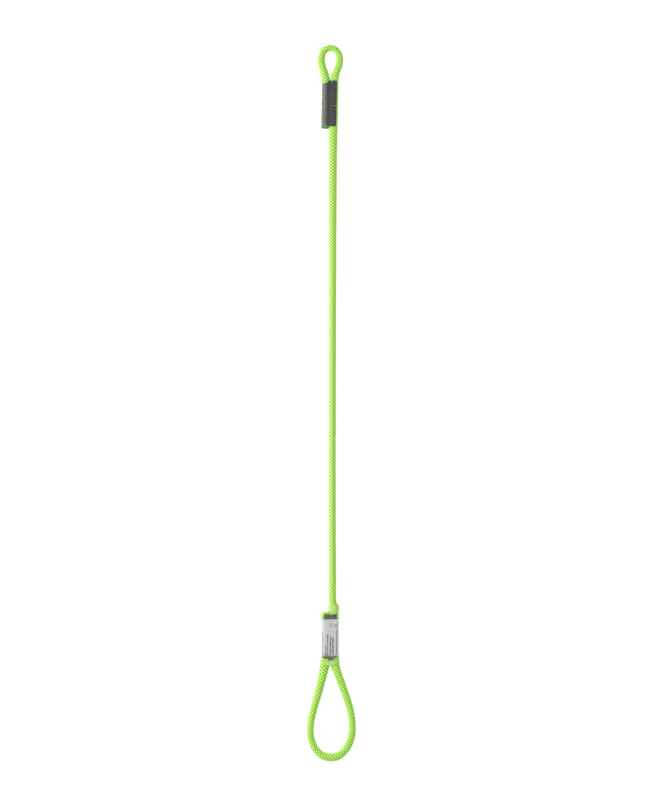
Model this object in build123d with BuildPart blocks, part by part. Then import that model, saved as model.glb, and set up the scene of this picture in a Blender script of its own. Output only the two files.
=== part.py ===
"""Rope lanyard: a round braided rope with a small sewn eye at one end and a large sewn loop at the other.

The rope lies flat, its length along Y, with the small eye at +Y and the loop at -Y. Z is up and the
lowest faces are at Z = 0. Each end is doubled back on itself and sewn through both legs with a zigzag
seam. A printed label and a heat-shrink sleeve cover the seam of the large loop. The rope bends at four
hinge stations, where every piece in it is cut to a pair of opposed wedges.

Millimetres throughout.
"""

import os
from math import pi, radians, sqrt, tan

from build123d import *

os.makedirs("parts", exist_ok=True)

# ---- driving dimensions -------------------------------------------------------------------------

overall_length = 1000.0  # over both eyes, outside to outside

rope_diameter = 9.8
sheath_wall = 1.25  # braided cover
core_clearance = 0.25  # between the core and the cover
strand_gap = 0.1  # between neighbouring core strands
marker_diameter = 0.5  # coloured thread between two core strands

leg_gap = 1.7  # between the two legs of a splice
thread_diameter = 0.8
stitch_pitch = 3.7  # one full zigzag
thread_spacing = 0.12  # between the two threads in one needle hole
eye_seam_length = 60.0
loop_seam_margin = 1.75  # from the seam to the sleeve's flare
tail_seam_inset = 0.65  # from the tail leg's outer side to the needle holes
line_seam_inset = 1.0  # from the line leg's outer side to the needle holes
thread_bend = 0.6  # how tightly the thread turns over the rope

seal_length = 2.5  # melted end of the rope
seal_round = 1.5

label_length = 52.6
label_thickness = 0.25
label_inset = 10.4  # from the sleeve's shoulder to the label

sleeve_wall = 1.0
sleeve_side_room = 0.9  # between a leg and the label
sleeve_corner = 4.6
collar_length = 9.8  # over the line leg alone
collar_side_room = 1.8
collar_room = 0.4  # above and below the rope
flare_length = 12.0
flare_spread = 1.4  # of each side, at the sleeve's mouth
flare_margin = 0.3  # from the label to the flare

fit_clearance = 0.05  # between pieces that lie on each other
flex_clearance = 0.3  # half of the opening at a hinge's axis
flex_angle = 90.0  # the most that a hinge turns either way

# ---- heights and stations that follow from them --------------------------------------------------

rope_radius = rope_diameter / 2
bore_radius = rope_radius - sheath_wall
strand_diameter = (bore_radius - core_clearance - strand_gap) / 1.5  # a strand with six round it
leg_pitch = rope_diameter + leg_gap
seam_height = rope_radius + fit_clearance + thread_diameter  # rope axis to the outside of a seam
label_height = seam_height + fit_clearance + label_thickness
sleeve_height = label_height + fit_clearance + sleeve_wall
sleeve_side = label_thickness + sleeve_wall + 2 * fit_clearance + sleeve_side_room
sleeve_width = leg_pitch + rope_diameter + 2 * sleeve_side
mouth_width = sleeve_width + 2 * flare_spread
collar_width = rope_diameter + 2 * (collar_side_room + sleeve_wall)
collar_height = rope_diameter + 2 * (collar_room + sleeve_wall)
sleeve_length = label_inset + label_length + flare_margin + flare_length

line_z = rope_radius
eye_splice_z = seam_height
loop_splice_z = sleeve_height
ramp_z = (loop_splice_z + line_z) / 2

top_y = overall_length / 2
base_y = -overall_length / 2

eye_mouth_y = top_y - 50.0
eye_seam_top_y = top_y - 54.0
eye_tail_y = eye_seam_top_y - eye_seam_length - 1.0
loop_mouth_y = base_y + 141.0
sleeve_mouth_y = base_y + 134.5
shoulder_y = sleeve_mouth_y + sleeve_length
collar_top_y = shoulder_y + collar_length
loop_tail_y = shoulder_y - sleeve_wall - fit_clearance - seal_length
loop_seam_top_y = loop_tail_y - 1.0
label_top_y = shoulder_y - label_inset
flare_top_y = sleeve_mouth_y + flare_length
loop_seam_length = loop_seam_top_y - flare_top_y - loop_seam_margin

eye_line_x = 3.9  # line leg of the small eye's splice, at its mouth
eye_lean = 1.1  # how far the splice leans over its length
loop_line_x = 3.35  # line leg of the large loop's splice
sleeve_x = loop_line_x - leg_pitch / 2
collar_x = loop_line_x - 0.65

eye_swing_y = eye_tail_y - 50.0
line_bend_y = 50.0
sleeve_swing_y = collar_top_y + 48.0
loop_fold_y = sleeve_mouth_y - 29.5

# ---- the rope's route ----------------------------------------------------------------------------
# From the tail of the small eye's splice, round the eye, down the line, into the sleeve, round the
# large loop and back into the sleeve beside the line.

route_points = [
    (eye_line_x - leg_pitch - eye_lean, eye_tail_y, eye_splice_z),
    (eye_line_x - leg_pitch, eye_mouth_y, eye_splice_z),
    (-9.8, top_y - 39.5, line_z),
    (-13.4, top_y - 29.5, line_z),
    (-14.9, top_y - 18.0, line_z),
    (-10.6, top_y - 7.7, line_z),
    (-1.2, top_y - 4.0, line_z),
    (8.2, top_y - 7.7, line_z),
    (12.5, top_y - 18.0, line_z),
    (10.7, top_y - 29.5, line_z),
    (6.2, top_y - 39.5, line_z),
    (eye_line_x, eye_mouth_y, eye_splice_z),
    (eye_line_x - eye_lean, eye_tail_y - 9.0, eye_splice_z),
    (1.9, eye_tail_y - 65.0, line_z),
    (1.1, -110.0, line_z),
    (1.4, collar_top_y + 40.0, line_z),
    (1.7, collar_top_y + 4.0, loop_splice_z),
    (loop_line_x, shoulder_y - 2.0, loop_splice_z),
    (loop_line_x, loop_mouth_y, loop_splice_z),
    (9.0, base_y + 121.0, ramp_z),
    (17.4, base_y + 99.0, line_z),
    (25.6, base_y + 76.0, line_z),
    (29.6, base_y + 54.5, line_z),
    (28.5, base_y + 34.5, line_z),
    (20.6, base_y + 16.0, line_z),
    (6.8, base_y + 4.9, line_z),
    (-9.2, base_y + 4.9, line_z),
    (-22.9, base_y + 16.0, line_z),
    (-29.8, base_y + 35.0, line_z),
    (-29.3, base_y + 55.0, line_z),
    (-24.4, base_y + 73.5, line_z),
    (-17.2, base_y + 98.0, line_z),
    (-11.8, base_y + 121.0, ramp_z),
    (loop_line_x - leg_pitch, loop_mouth_y, loop_splice_z),
    (loop_line_x - leg_pitch, loop_tail_y, loop_splice_z),
]


def bend_radii(points):
    """Return the largest fair radius at each inner point of a route."""
    corners = [Vector(*point) for point in points]
    radii = []
    for before, corner, after in zip(corners, corners[1:], corners[2:]):
        run_in, run_out = corner - before, after - corner
        half_turn = radians(run_in.get_angle(run_out)) / 2
        radii.append(0.45 * min(run_in.length, run_out.length) / tan(half_turn))
    return radii


route_radii = bend_radii(route_points)
print("bend radii, mm:", [round(radius, 1) for radius in route_radii])

with BuildLine() as route:
    FilletPolyline(*route_points, radius=route_radii)

rope_axis = route.wire()
route_start = Plane(rope_axis @ 0, z_dir=rope_axis % 0)
print("rope length, mm:", round(rope_axis.length, 1))


def rope_piece(radius, inner_radius=0.0, offset=0.0, angle=0.0):
    """Sweep one of the rope's round pieces along the whole route."""
    with BuildPart() as piece:
        with BuildSketch(route_start):
            with PolarLocations(offset, 1, start_angle=angle):
                Circle(radius)
                if inner_radius:
                    Circle(inner_radius, mode=Mode.SUBTRACT)
        sweep(path=rope_axis)
    return piece.part


strand_ring = strand_diameter + strand_gap
marker_ring = bore_radius - core_clearance + fit_clearance - marker_diameter / 2
cover = rope_piece(rope_radius, inner_radius=bore_radius)
strands = [rope_piece(strand_diameter / 2)]
strands += [rope_piece(strand_diameter / 2, offset=strand_ring, angle=60 * turn) for turn in range(6)]
marker = rope_piece(marker_diameter / 2, offset=marker_ring, angle=90)
print("cover volume, mm3:", round(cover.volume), "and its section times its length:",
      round((rope_radius**2 - bore_radius**2) * pi * rope_axis.length))

# ---- where the rope is divided -------------------------------------------------------------------

reach = 80.0  # past the object's sides
wedge = tan(radians(flex_angle / 2))  # how fast a wedge falls back from the hinge's axis


def line_x(y):
    """Return where the line between the two splices crosses y."""
    for (upper_x, upper_y, _), (lower_x, lower_y, _) in zip(route_points[11:], route_points[12:17]):
        if lower_y <= y <= upper_y:
            return lower_x + (upper_x - lower_x) * (y - lower_y) / (upper_y - lower_y)


def notch(station_y, side):
    """Return three corners of a wedge-shaped edge at a hinge about Z, on its +Y or -Y side."""
    hinge_x = line_x(station_y)
    apex_y = station_y + side * flex_clearance
    return [
        (-reach, apex_y + side * wedge * (reach + hinge_x)),
        (hinge_x, apex_y),
        (reach, apex_y + side * wedge * (reach - hinge_x)),
    ]


def far_edge(edge_y):
    """Return the two corners of a plain edge beyond the object."""
    return [(-reach, edge_y), (reach, edge_y)]


def stretch_between(lower_edge, upper_edge):
    """Return the block of space between two edges, over the rope's whole height."""
    with BuildPart() as block:
        with BuildSketch(Plane.XY.offset(-rope_diameter)):
            Polygon(*lower_edge, *reversed(upper_edge), align=None)
        extrude(amount=4 * rope_diameter)
    return block.part


def fold_block(side):
    """Return the block of space on the +Y or -Y side of the loop's fold, a hinge about X."""
    apex_y = loop_fold_y + side * flex_clearance
    tip = (apex_y, line_z)
    low = (apex_y + side * wedge * reach, line_z - reach)
    high = (apex_y + side * wedge * reach, line_z + reach)
    far = loop_fold_y + side * 3 * reach
    with BuildPart() as block:
        with BuildSketch(Plane.YZ.offset(-reach)):
            Polygon((far, line_z - reach), low, tip, high, (far, line_z + reach), align=None)
        extrude(amount=2 * reach)
    return block.part


with BuildPart() as splice_space:
    add(stretch_between(far_edge(base_y - reach), notch(sleeve_swing_y, -1)))
    add(fold_block(+1), mode=Mode.INTERSECT)

spaces = {
    "eye_rope": stretch_between(notch(eye_swing_y, +1), far_edge(top_y + reach)),
    "upper_line": stretch_between(notch(line_bend_y, +1), notch(eye_swing_y, -1)),
    "lower_line": stretch_between(notch(sleeve_swing_y, +1), notch(line_bend_y, -1)),
    "splice_rope": splice_space.part,
    "loop_rope": fold_block(-1),
}


def cut_length(pieces, space):
    """Return the lengths of some of the rope's pieces that lie in one space."""
    with BuildPart() as lengths:
        for piece in pieces:
            with BuildPart(mode=Mode.PRIVATE) as length:
                add(piece)
                add(space, mode=Mode.INTERSECT)
            add(length.part)
    return lengths.part


for stretch_name, space in spaces.items():
    for piece_name, pieces in {"sheath": [cover], "core": strands, "marker": [marker]}.items():
        length = cut_length(pieces, space)
        length.label = f"{stretch_name}_{piece_name}"
        export_step(length, f"parts/{length.label}.step")

# ---- melted ends of the rope ---------------------------------------------------------------------


def sealed_end(face_point, outward):
    """Return the melted end that closes the rope at face_point, rounded at its rim."""
    with BuildPart() as seal:
        with BuildSketch(Plane(face_point, z_dir=outward)):
            Circle(rope_radius)
        extrude(amount=seal_length)
        rim = seal.faces().sort_by(Axis(face_point, outward))[-1].edges()
        fillet(rim, radius=seal_round)
    return seal.part


eye_rope_end = sealed_end(rope_axis @ 0, (rope_axis % 0) * -1)
eye_rope_end.label = "eye_rope_end"
export_step(eye_rope_end, "parts/eye_rope_end.step")

splice_rope_end = sealed_end(rope_axis @ 1, rope_axis % 1)
splice_rope_end.label = "splice_rope_end"
export_step(splice_rope_end, "parts/splice_rope_end.step")

# ---- zigzag seams --------------------------------------------------------------------------------

thread_ride = rope_radius + fit_clearance + thread_diameter / 2  # rope axis to thread axis
thread_start = fit_clearance  # each thread stops this far from the rope's middle
hole_step = (thread_diameter + thread_spacing) / 2
stitch_advance = stitch_pitch / 2 - 2 * hole_step
tail_holes = rope_radius - tail_seam_inset  # from the tail leg's axis
line_holes = rope_radius - line_seam_inset  # from the line leg's axis


def stitch(face, slant):
    """Return one stitch across both legs, from hole to hole, on the upper (+1) or lower (-1) face.

    Its tail side is at the origin in Y, and slant says whether it goes to -Y (+1) or comes from it.
    """
    shoulder = sqrt(2) * thread_ride
    crown = shoulder - thread_ride
    left, right = -tail_holes, leg_pitch + line_holes
    outline = [
        (left, thread_start),
        (left, shoulder - tail_holes),
        (-crown, thread_ride),
        (leg_pitch + crown, thread_ride),
        (right, shoulder - line_holes),
        (right, thread_start),
    ]
    corners = []
    for across, height in outline:
        share = (across - left) / (right - left)
        corners.append((across, -slant * share * stitch_advance, face * height))
    with BuildPart() as one_stitch:
        with BuildLine() as thread_path:
            FilletPolyline(*corners, radius=thread_bend)
        with BuildSketch(Plane(thread_path.line @ 0, z_dir=thread_path.line % 0)):
            Circle(thread_diameter / 2)
        sweep()
    return one_stitch.part


def zigzag(face, start, lean_per_mm, length):
    """Return one thread of a seam: a run of stitches to and fro, from the seam's top downwards."""
    to_line, to_tail = stitch(face, +1), stitch(face, -1)
    count = int(length / (stitch_pitch / 2))
    start_x, start_y, start_z = start
    places = []
    for number in range(count):
        hole_y = start_y - number * stitch_pitch / 2 - hole_step
        if number % 2:
            hole_y -= stitch_advance
        places.append((start_x + lean_per_mm * (start_y - hole_y), hole_y, start_z))
    with BuildPart() as seam:
        with Locations(*places[0::2]):
            add(to_line)
        with Locations(*places[1::2]):
            add(to_tail)
    return seam.part


lean = -eye_lean / (eye_mouth_y - eye_tail_y)
eye_seam_start = (
    eye_line_x - leg_pitch + lean * (eye_mouth_y - eye_seam_top_y),
    eye_seam_top_y,
    eye_splice_z,
)
loop_seam_start = (loop_line_x - leg_pitch, loop_seam_top_y, loop_splice_z)

for thread_name, face in {"needle_thread": +1, "bobbin_thread": -1}.items():
    eye_thread = zigzag(face, eye_seam_start, lean, eye_seam_length)
    eye_thread.label = f"eye_{thread_name}"
    export_step(eye_thread, f"parts/{eye_thread.label}.step")

    loop_thread = zigzag(face, loop_seam_start, 0.0, loop_seam_length)
    loop_thread.label = f"splice_{thread_name}"
    export_step(loop_thread, f"parts/{loop_thread.label}.step")

# ---- label and heat-shrink sleeve ----------------------------------------------------------------


def station(y):
    """Return the plane across the lanyard at y, facing the large loop."""
    return Plane((0, y, 0), x_dir=(1, 0, 0), z_dir=(0, -1, 0))


def band(y, centre_x, width, height, corner):
    """Return a rounded band's outline across the splice at y."""
    with BuildSketch(station(y)) as outline:
        with Locations((centre_x, loop_splice_z)):
            RectangleRounded(width, height, corner)
    return outline.sketch


bore_width = sleeve_width - 2 * sleeve_wall
bore_height = 2 * (sleeve_height - sleeve_wall)
bore_corner = sleeve_corner - sleeve_wall
label_width = bore_width - 2 * fit_clearance
label_depth = bore_height - 2 * fit_clearance
label_corner = bore_corner - fit_clearance


def sleeve_skin(inset):
    """Return the sleeve's outline in space, shrunk by inset on every side but its open ends."""
    corner = sleeve_corner - inset
    height = 2 * (sleeve_height - inset)
    collar = band(collar_top_y, collar_x, collar_width - 2 * inset, collar_height - 2 * inset, corner)
    over_legs = band(shoulder_y - inset, sleeve_x, sleeve_width - 2 * inset, height, corner)
    flare_top = band(flare_top_y, sleeve_x, sleeve_width - 2 * inset, height, corner)
    mouth = band(sleeve_mouth_y, sleeve_x, mouth_width - 2 * inset, height, corner)
    with BuildPart() as skin:
        extrude(collar, amount=collar_length + sleeve_wall)
        extrude(over_legs, amount=sleeve_length - inset - flare_length)
        loft([flare_top, mouth])
    return skin.part


with BuildPart() as printed_label:
    extrude(band(label_top_y, sleeve_x, label_width, label_depth, label_corner), amount=label_length)
    label_bore = band(
        label_top_y,
        sleeve_x,
        label_width - 2 * label_thickness,
        label_depth - 2 * label_thickness,
        label_corner - label_thickness,
    )
    extrude(label_bore, amount=label_length, mode=Mode.SUBTRACT)
printed_label.part.label = "printed_label"
export_step(printed_label.part, "parts/printed_label.step")

with BuildPart() as heat_shrink_sleeve:
    add(sleeve_skin(0.0))
    add(sleeve_skin(sleeve_wall), mode=Mode.SUBTRACT)
heat_shrink_sleeve.part.label = "heat_shrink_sleeve"
export_step(heat_shrink_sleeve.part, "parts/heat_shrink_sleeve.step")
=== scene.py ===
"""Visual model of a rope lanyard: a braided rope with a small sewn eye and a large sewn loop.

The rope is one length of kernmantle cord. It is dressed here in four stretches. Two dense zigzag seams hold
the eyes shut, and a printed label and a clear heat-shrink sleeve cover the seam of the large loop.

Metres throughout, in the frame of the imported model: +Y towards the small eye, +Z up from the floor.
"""

from __future__ import annotations

import logging
import math
from dataclasses import dataclass, field
from enum import Enum
from typing import Callable, Iterable, Mapping, Sequence

import bmesh
import bpy
import numpy as np
from mathutils import Matrix, Vector

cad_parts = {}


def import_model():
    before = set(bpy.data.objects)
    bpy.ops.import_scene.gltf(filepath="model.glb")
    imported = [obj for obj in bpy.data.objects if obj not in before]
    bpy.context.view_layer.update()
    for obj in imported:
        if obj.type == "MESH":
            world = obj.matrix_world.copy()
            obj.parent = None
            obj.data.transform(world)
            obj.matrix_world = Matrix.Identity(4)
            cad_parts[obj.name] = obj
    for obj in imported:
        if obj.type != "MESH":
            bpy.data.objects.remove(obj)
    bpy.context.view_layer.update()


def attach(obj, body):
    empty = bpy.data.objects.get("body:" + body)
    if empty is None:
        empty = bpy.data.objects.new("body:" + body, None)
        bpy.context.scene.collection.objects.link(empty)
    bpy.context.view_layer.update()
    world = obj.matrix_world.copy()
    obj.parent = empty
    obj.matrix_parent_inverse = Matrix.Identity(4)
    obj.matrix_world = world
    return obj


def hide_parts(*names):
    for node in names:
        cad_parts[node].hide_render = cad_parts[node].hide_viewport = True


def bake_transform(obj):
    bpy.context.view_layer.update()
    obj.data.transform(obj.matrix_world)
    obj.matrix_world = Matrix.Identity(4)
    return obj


log = logging.getLogger("rope_lanyard")

Point = tuple[float, float, float]
Size = tuple[float, float]

MM = 0.001

ROPE_DIAMETER = 9.8 * MM
BRAID_YARNS = 6  # yarns that run each way round; the real cover has more, drawn coarser so that they show
BRAID_LEAN = 1.1  # sideways travel of a yarn over its travel along the rope
BRAID_PITCH = math.pi * ROPE_DIAMETER / BRAID_YARNS
BRAID_SWING = 0.9  # how far a yarn rises and dips, over its own height
BRAID_ROUNDING = 1.9  # 1 makes a yarn a ridge, 2 makes it round

# The rope's way, from the tail of the small eye's seam, round the eye, down the line, into the sleeve,
# round the large loop and back into the sleeve.
ROUTE: list[Point] = [
    (-0.00870, 0.3850, 0.00575),
    (-0.00778, 0.4394, 0.00575),
    (-0.00760, 0.4500, 0.00575),
    (-0.00980, 0.4605, 0.00490),
    (-0.01340, 0.4705, 0.00490),
    (-0.01490, 0.4820, 0.00490),
    (-0.01060, 0.4923, 0.00490),
    (-0.00140, 0.4964, 0.00490),
    (0.00770, 0.4920, 0.00490),
    (0.01220, 0.4820, 0.00490),
    (0.01070, 0.4705, 0.00490),
    (0.00620, 0.4605, 0.00490),
    (0.00390, 0.4500, 0.00575),
    (0.00374, 0.4393, 0.00575),
    (0.00240, 0.3760, 0.00575),
    (0.00190, 0.3200, 0.00490),
    (0.00180, 0.2640, 0.00490),
    (0.00134, 0.0200, 0.00490),
    (0.00110, -0.1100, 0.00490),
    (0.00132, -0.2044, 0.00490),
    (0.00140, -0.2404, 0.00490),
    (0.00140, -0.2605, 0.00613),
    (0.00140, -0.2764, 0.00710),
    (0.00335, -0.2922, 0.00710),
    (0.00335, -0.3081, 0.00710),
    (0.00335, -0.3382, 0.00710),
    (0.00335, -0.3590, 0.00710),
    (0.00930, -0.3790, 0.00600),
    (0.01755, -0.4010, 0.00490),
    (0.02560, -0.4240, 0.00490),
    (0.02960, -0.4455, 0.00490),
    (0.02850, -0.4655, 0.00490),
    (0.02080, -0.4838, 0.00490),
    (0.00720, -0.4943, 0.00490),
    (-0.00960, -0.4943, 0.00490),
    (-0.02320, -0.4840, 0.00490),
    (-0.02980, -0.4650, 0.00490),
    (-0.02930, -0.4450, 0.00490),
    (-0.02490, -0.4265, 0.00490),
    (-0.01775, -0.4020, 0.00490),
    (-0.01215, -0.3790, 0.00600),
    (-0.00815, -0.3590, 0.00710),
    (-0.00815, -0.3386, 0.00710),
    (-0.00815, -0.29375, 0.00710),
]

# The sleeve's clear lining magnifies the rope, so inside it the rope is drawn as wide as it looks.
SLEEVED_WIDTH = 13.6  # in millimetres, as in the table below

# How wide and how high the rope is along its way, in millimetres: the place's Y, which pass of the rope
# over that Y, its width and its height. Seams pinch it, bends flatten it, and it swells next to them.
GIRTHS: tuple[tuple[float, int, float, float], ...] = (
    (385.6, 0, 11.9, 8.9),
    (447.5, 0, 11.9, 8.9),
    (455.0, 0, 11.7, 9.2),
    (460.0, 0, 11.1, 9.5),
    (466.0, 0, 10.6, 9.8),
    (485.0, 0, 10.1, 9.8),
    (494.0, 0, 9.0, 9.8),
    (494.0, 1, 8.9, 9.8),
    (485.0, 1, 9.6, 9.8),
    (466.0, 1, 9.9, 9.8),
    (460.0, 1, 10.6, 9.5),
    (455.0, 1, 11.5, 9.2),
    (447.5, 1, 12.0, 8.9),
    (386.5, 1, 12.0, 8.9),
    (372.0, 0, 11.7, 9.4),
    (316.0, 0, 11.2, 9.8),
    (204.0, 0, 10.4, 9.8),
    (93.0, 0, 10.0, 9.8),
    (-130.0, 0, 9.9, 9.8),
    (-255.0, 0, 10.3, 9.8),
    (-279.8, 0, 11.0, 9.4),
    (-281.6, 0, 14.6, 8.9),
    (-288.5, 0, 15.0, 8.9),
    (-291.5, 0, SLEEVED_WIDTH, 8.9),
    (-361.5, 0, SLEEVED_WIDTH, 8.9),
    (-366.0, 0, 12.5, 8.9),
    (-373.0, 0, 11.7, 9.2),
    (-390.0, 0, 11.2, 9.7),
    (-402.0, 0, 11.0, 9.8),
    (-420.0, 0, 10.1, 9.8),
    (-440.0, 0, 9.7, 9.8),
    (-452.0, 0, 9.9, 9.8),
    (-462.0, 0, 10.7, 9.8),
    (-485.0, 0, 10.9, 9.8),
    (-492.5, 0, 11.6, 9.8),
    (-492.5, 1, 11.5, 9.8),
    (-486.0, 1, 10.1, 9.8),
    (-470.0, 1, 9.8, 9.8),
    (-450.0, 1, 9.9, 9.8),
    (-430.0, 1, 10.5, 9.8),
    (-400.0, 1, 11.2, 9.8),
    (-390.0, 1, 11.5, 9.6),
    (-380.0, 1, 12.2, 9.2),
    (-370.0, 1, 13.1, 8.9),
    (-361.5, 1, SLEEVED_WIDTH, 8.9),
)

SEAM_THREAD = 0.92 * MM

# Where the four stretches of rope meet.
UPPER_MEETING_Y = 0.192
LOWER_MEETING_Y = -0.091
SLEEVE_MEETING_Y = -0.320


class Body(str, Enum):
    """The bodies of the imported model."""

    SMALL_EYE = "small_eye_end"
    UPPER_LINE = "upper_line"
    LOWER_LINE = "lower_line"
    SPLICE = "sleeved_splice"
    LOOP = "large_loop"


class Slot(str, Enum):
    """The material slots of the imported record."""

    SHEATH = "braided_sheath"
    MELTED = "melted_rope"
    THREAD = "sewing_thread"
    LABEL = "label_film"
    SLEEVE = "shrink_tube"


# ---- materials ------------------------------------------------------------------------------------


def linear(hex_colour: str) -> tuple[float, float, float, float]:
    """Turn an sRGB hex colour into linear RGBA.

    Args:
        hex_colour: The colour as "#rrggbb".

    Returns:
        The four channels, from 0 to 1, fully opaque.
    """
    channels = [int(hex_colour[i : i + 2], 16) / 255 for i in (1, 3, 5)]
    rgb = [c / 12.92 if c <= 0.04045 else ((c + 0.055) / 1.055) ** 2.4 for c in channels]
    return (rgb[0], rgb[1], rgb[2], 1.0)


def add_node(
    tree: bpy.types.NodeTree,
    kind: str,
    inputs: Mapping[str | int, object] | Sequence[object] = (),
    stops: Sequence[tuple[float, str]] = (),
    **settings: object,
) -> bpy.types.Node:
    """Add one shader node with its settings, input values and links.

    Args:
        tree: The tree that the node joins.
        kind: The node's type name, without the "ShaderNode" that it starts with.
        inputs: What goes to the node's inputs, by name or number, or in order. A socket is linked, a node
            is linked by its first output, and anything else is the input's value.
        stops: The place and hex colour of each stop, in order, if the node holds a colour ramp.
        **settings: Properties of the node itself.

    Returns:
        The new node.
    """
    node = tree.nodes.new("ShaderNode" + kind)
    for name, setting in settings.items():
        setattr(node, name, setting)
    for key, given in inputs.items() if isinstance(inputs, Mapping) else enumerate(inputs):
        source = given.outputs[0] if isinstance(given, bpy.types.Node) else given
        if isinstance(source, bpy.types.NodeSocket):
            tree.links.new(source, node.inputs[key])
        else:
            node.inputs[key].default_value = source
    if stops:
        elements = node.color_ramp.elements
        while len(elements) < len(stops):
            elements.new(0.5)
        for element, (place, colour) in zip(elements, stops):
            element.position = place
            element.color = linear(colour)
    return node


class Finish:
    """One finish, made as a material with a Principled shader."""

    name: str

    def shader_inputs(self, tree: bpy.types.NodeTree) -> dict[str, object]:
        """Give what goes to the shader's inputs, after adding the nodes that it takes.

        Args:
            tree: The material's node tree.

        Returns:
            Values, nodes and sockets, by the shader's input names.
        """
        raise NotImplementedError

    def make(self) -> bpy.types.Material:
        """Build the material.

        Returns:
            The new material.
        """
        material = bpy.data.materials.new(self.name)
        material.use_nodes = True
        tree = material.node_tree
        tree.nodes.clear()
        shader = add_node(tree, "BsdfPrincipled", self.shader_inputs(tree))
        add_node(tree, "OutputMaterial", {"Surface": shader})
        return material


@dataclass(frozen=True)
class BraidedPolyamide(Finish):
    """Solution-dyed polyamide braid, with painted shade in the gaps between yarns and a painted highlight on
    their crowns.
    """

    name = "braided_polyamide_sheath"
    # Colours by the yarns' height: a painted highlight on the crowns and painted shade in the gaps.
    lit_crown: str = "#c8f27a"
    flank: str = "#9ad745"
    shaded_gap: str = "#559c1a"
    sheen: str = "#dcff90"
    filament_width: float = 0.22 * MM  # a bundle of filaments, drawn coarse enough to show
    filament_changes: float = 260.0  # how often a filament's shade changes along a metre of rope
    filament_share: float = 0.3  # of the look, and the yarns' own share
    yarn_share: float = 0.85

    def shader_inputs(self, tree: bpy.types.NodeTree) -> dict[str, object]:
        """Draw the braid from the rope's own UV map, which is in metres round and along.

        Args:
            tree: The material's node tree.

        Returns:
            What goes to the shader's inputs.
        """
        uv = add_node(tree, "UVMap", uv_map="rope")
        around, along = add_node(tree, "SeparateXYZ", (uv,)).outputs[:2]

        # The number of each yarn, one way round the rope and the other, with the place across it.
        drift = add_node(tree, "Math", (along, BRAID_LEAN), operation="MULTIPLY")
        ways = [add_node(tree, "Math", (around, drift), operation=way) for way in ("SUBTRACT", "ADD")]
        places = [add_node(tree, "Math", (way, BRAID_PITCH), operation="DIVIDE") for way in ways]
        numbers = [add_node(tree, "Math", (place,), operation="ROUND") for place in places]

        # Each yarn is rounded across, and rises and dips along: one over, one under.
        layers = []
        for mine, other, over in ((0, 1, BRAID_SWING), (1, 0, -BRAID_SWING)):
            offset = add_node(tree, "Math", (places[mine], numbers[mine]), operation="SUBTRACT")
            aside = add_node(tree, "Math", (offset,), operation="ABSOLUTE")
            to_edge = add_node(tree, "Math", (aside, 2.0), operation="MULTIPLY")
            fall = add_node(tree, "Math", (to_edge, BRAID_ROUNDING), operation="POWER")
            rounded = add_node(tree, "Math", (1.0, fall), operation="SUBTRACT")
            turn = add_node(tree, "Math", (numbers[mine], places[other]), operation="ADD")
            angle = add_node(tree, "Math", (turn, math.pi), operation="MULTIPLY")
            wave = add_node(tree, "Math", (angle,), operation="COSINE")
            layers.append(add_node(tree, "Math", (wave, over, rounded), operation="MULTIPLY_ADD"))
        on_top = add_node(tree, "Math", layers, operation="GREATER_THAN")
        highest = add_node(tree, "Math", layers, operation="MAXIMUM")
        top = add_node(tree, "Math", (highest, 1 + BRAID_SWING), operation="DIVIDE")
        yarn_number, place_along = (
            add_node(tree, "Mix", {0: on_top, 2: pair[1], 3: pair[0]}, data_type="FLOAT")
            for pair in (numbers, places)
        )

        # Filaments run along each yarn, so the noise is stretched along it.
        fineness = BRAID_PITCH / self.filament_width
        across_yarn = add_node(tree, "Math", (place_along, fineness), operation="MULTIPLY")
        along_rope = add_node(tree, "Math", (along, self.filament_changes), operation="MULTIPLY")
        lines = add_node(tree, "CombineXYZ", (across_yarn, along_rope, yarn_number))
        grain = {"Vector": lines, "Scale": 1.0, "Detail": 2.0, "Roughness": 0.6}
        filaments = add_node(tree, "TexNoise", grain)

        yarns = add_node(tree, "Math", (top, self.yarn_share), operation="MULTIPLY")
        look = add_node(tree, "Math", (filaments, self.filament_share, yarns), operation="MULTIPLY_ADD")
        # The ramp paints shade in the gaps between yarns and a highlight on their crowns, from the yarns'
        # height.
        stops = ((0.40, self.shaded_gap), (0.66, self.flank), (0.92, self.lit_crown))
        return {
            "Base Color": add_node(tree, "ValToRGB", {"Fac": look}, stops),
            "Normal": add_node(tree, "Bump", {"Height": look, "Strength": 0.7, "Distance": 0.4 * MM}),
            "Roughness": 0.55,
            "IOR": 1.53,
            "Specular IOR Level": 0.35,
            "Sheen Weight": 0.25,
            "Sheen Roughness": 0.4,
            "Sheen Tint": linear(self.sheen),
        }


@dataclass(frozen=True)
class FusedPolyamide(Finish):
    """Rope end sealed with a hot knife: melted, darker than the braid, glossy where it ran."""

    name = "fused_polyamide_end"
    deep: str = "#2f6a1c"
    pale: str = "#5c9a35"

    def shader_inputs(self, tree: bpy.types.NodeTree) -> dict[str, object]:
        """Mottle it over about 1 mm, as melted yarn ends are.

        Args:
            tree: The material's node tree.

        Returns:
            What goes to the shader's inputs.
        """
        place = add_node(tree, "TexCoord").outputs["Object"]
        mottle = add_node(tree, "TexNoise", {"Vector": place, "Scale": 900.0, "Detail": 3.0})
        return {
            "Base Color": add_node(tree, "ValToRGB", {"Fac": mottle}, ((0.35, self.deep), (0.7, self.pale))),
            "Normal": add_node(tree, "Bump", {"Height": mottle, "Strength": 0.5, "Distance": 0.3 * MM}),
            "Roughness": 0.35,
            "IOR": 1.53,
        }


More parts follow.
